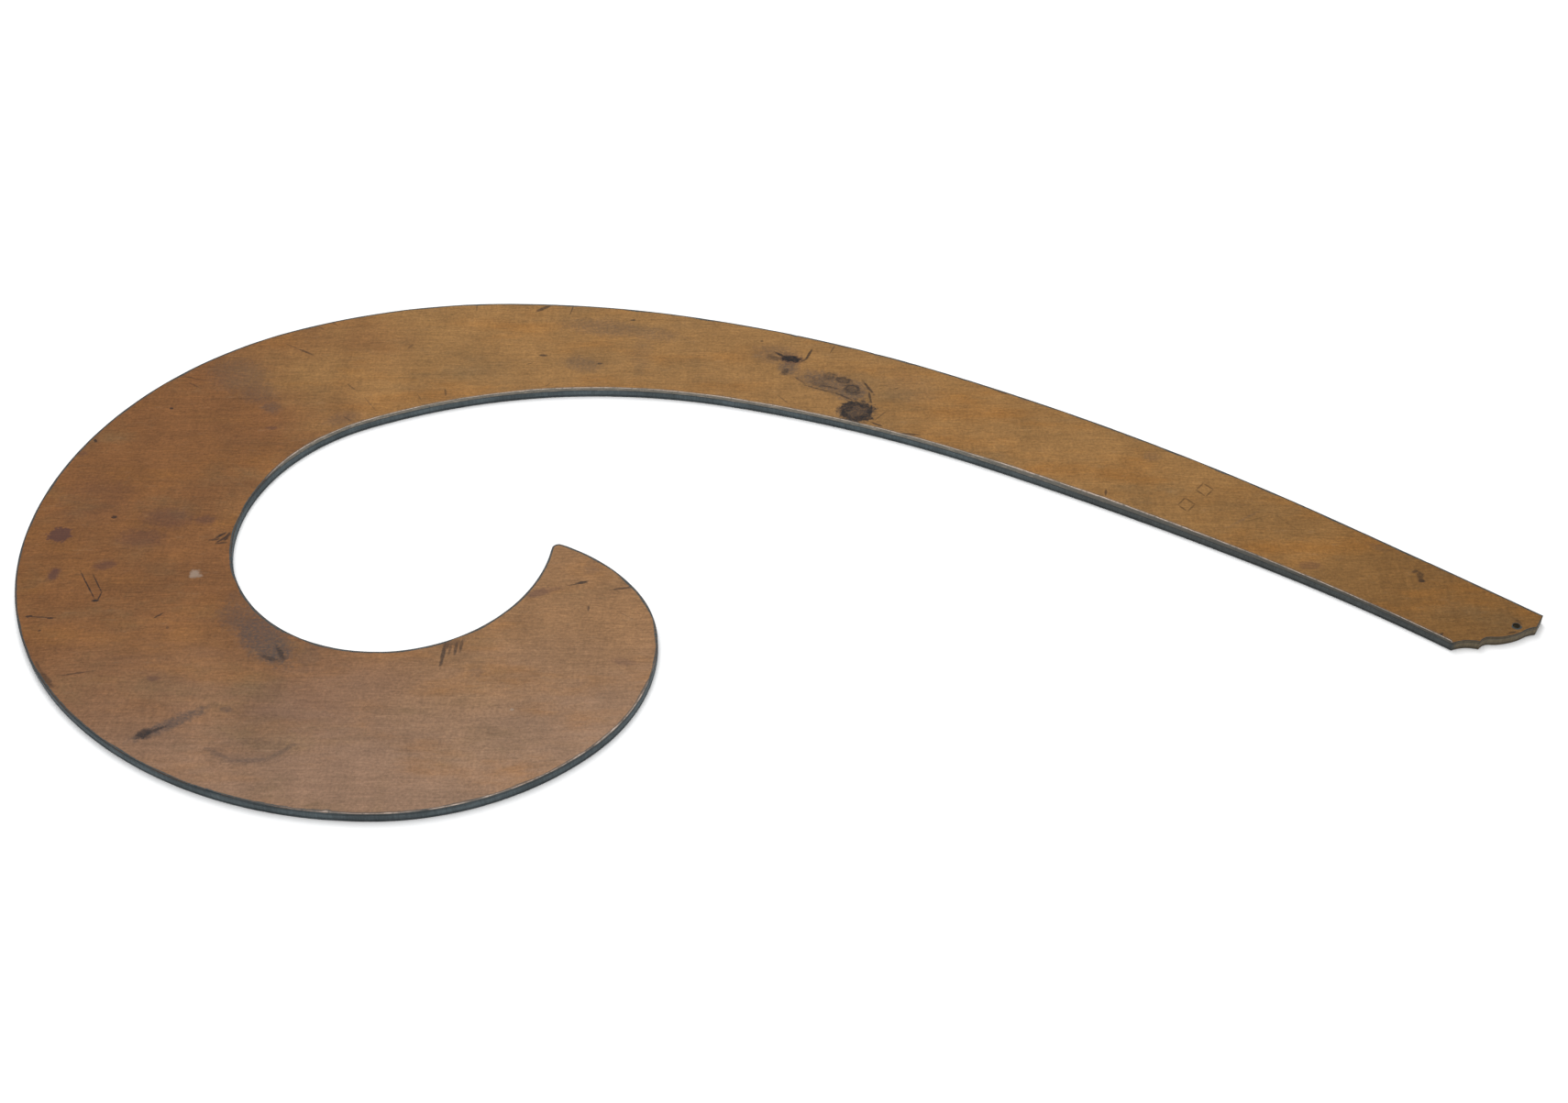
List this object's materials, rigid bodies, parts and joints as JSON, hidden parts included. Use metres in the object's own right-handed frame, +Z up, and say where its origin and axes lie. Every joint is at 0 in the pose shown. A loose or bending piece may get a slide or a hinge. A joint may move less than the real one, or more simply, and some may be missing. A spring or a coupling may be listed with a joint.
{
  "type": "french curve",
  "caption": "Flat wooden drawing template with a scroll head, an open throat and a long tapering curved arm, laminated from thin plies, with a small hanging hole at its moulded tip.",
  "frame": {"origin": "under the centre of the box, on the face that lies on the paper", "axes": "+X along the length towards the moulded tip, +Y towards the crown of the scroll, +Z up through the thickness"},
  "size_m": [0.4, 0.201, 0.0028],
  "materials": {
    "pearwood_face": "worn, hand-polished pearwood with ink stains",
    "pearwood_core": "ink-darkened cut edge of cross-grained pearwood",
    "hide_glue": "dark dried animal glue"
  },
  "bodies": {
    "root": {"top_face_ply": "pearwood_face", "upper_glue_film": "hide_glue", "cross_grain_core_ply": "pearwood_core", "lower_glue_film": "hide_glue", "bottom_face_ply": "pearwood_face"}
  },
  "joints": []
}
